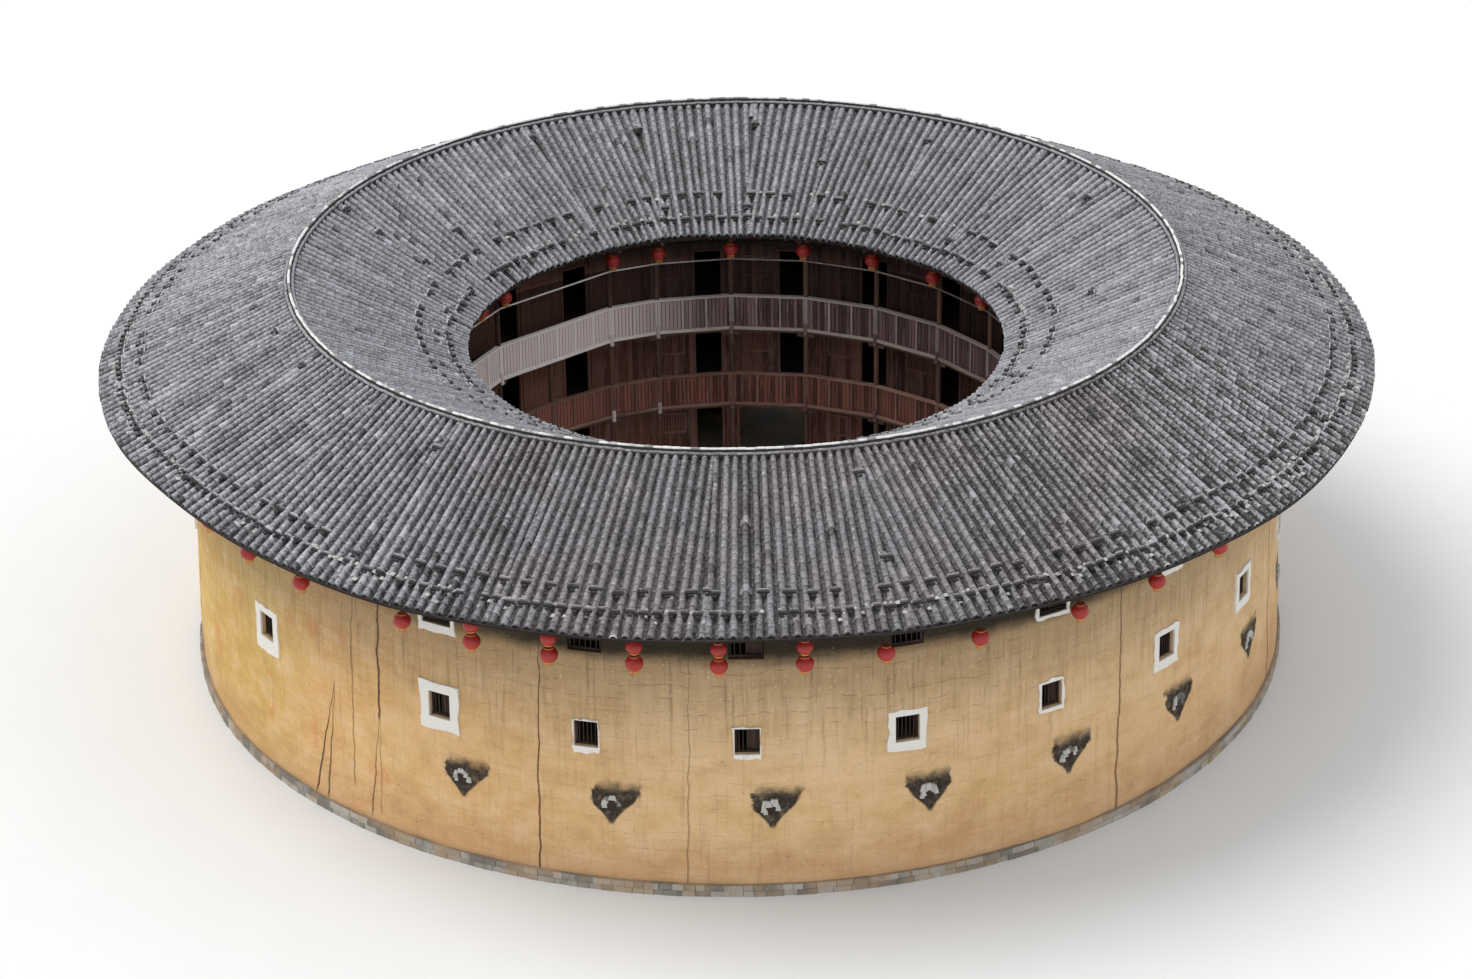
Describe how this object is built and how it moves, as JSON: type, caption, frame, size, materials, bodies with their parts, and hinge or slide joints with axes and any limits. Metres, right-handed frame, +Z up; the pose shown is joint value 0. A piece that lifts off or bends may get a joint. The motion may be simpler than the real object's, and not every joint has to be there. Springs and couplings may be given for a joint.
{
  "type": "tulou roundhouse",
  "caption": "Round rammed-earth communal house: a thick ring wall with small windows, timber galleries round an open courtyard, and a tiled ring roof.",
  "frame": {"origin": "on the building's axis, at ground level", "axes": "+Z up along the building's axis, -Y towards the side that the picture shows, +X to that side's right"},
  "size_m": [38, 38, 12.06],
  "materials": {
    "rammed_earth": "rough, cracked and weathered",
    "stone": "rough dressed stone",
    "roof_tile": "unglazed, weathered",
    "ridge_plaster": "weathered lime plaster",
    "dark_timber": "smoke-darkened boards and posts",
    "weathered_timber": "bare and sun-greyed",
    "white_plaster": "hand-laid lime plaster",
    "red_fabric": "matte cloth"
  },
  "bodies": {
    "root": {"stone_footing_01": "stone", "stone_footing_02": "stone", "stone_footing_03": "stone", "stone_footing_04": "stone", "stone_footing_05": "stone", "stone_footing_06": "stone", "outer_wall_01": "rammed_earth", "outer_wall_02": "rammed_earth", "outer_wall_03": "rammed_earth", "outer_wall_04": "rammed_earth", "outer_wall_05": "rammed_earth", "outer_wall_06": "rammed_earth", "outer_wall_07": "rammed_earth", "outer_wall_08": "rammed_earth", "outer_wall_09": "rammed_earth", "outer_wall_10": "rammed_earth", "outer_wall_11": "rammed_earth", "outer_wall_12": "rammed_earth", "outer_wall_13": "rammed_earth", "outer_wall_14": "rammed_earth", "outer_wall_15": "rammed_earth", "outer_wall_16": "rammed_earth", "outer_wall_17": "rammed_earth", "outer_wall_18": "rammed_earth", "outer_wall_19": "rammed_earth", "outer_wall_20": "rammed_earth", "outer_wall_21": "rammed_earth", "outer_wall_22": "rammed_earth", "wall_over_gate": "rammed_earth", "gate_surround": "stone", "ground_floor": "stone", "floor_second": "dark_timber", "floor_third": "dark_timber", "gallery_frame_ground": "dark_timber", "gallery_frame_second": "dark_timber", "gallery_frame_third": "dark_timber", "inner_eave_frame": "dark_timber", "balustrade_second": "dark_timber", "balustrade_third": "weathered_timber", "room_front_ground": "dark_timber", "room_front_second": "dark_timber", "room_front_third": "dark_timber", "roof_outer_slope_01": "roof_tile", "roof_outer_slope_02": "roof_tile", "roof_outer_slope_03": "roof_tile", "roof_outer_slope_04": "roof_tile", "roof_outer_slope_05": "roof_tile", "roof_outer_slope_06": "roof_tile", "roof_inner_slope_01": "roof_tile", "roof_inner_slope_02": "roof_tile", "roof_inner_slope_03": "roof_tile", "roof_inner_slope_04": "roof_tile", "roof_inner_slope_05": "roof_tile", "roof_inner_slope_06": "roof_tile", "ridge_cap": "ridge_plaster", "outer_eave_frame": "dark_timber"}
  },
  "joints": []
}
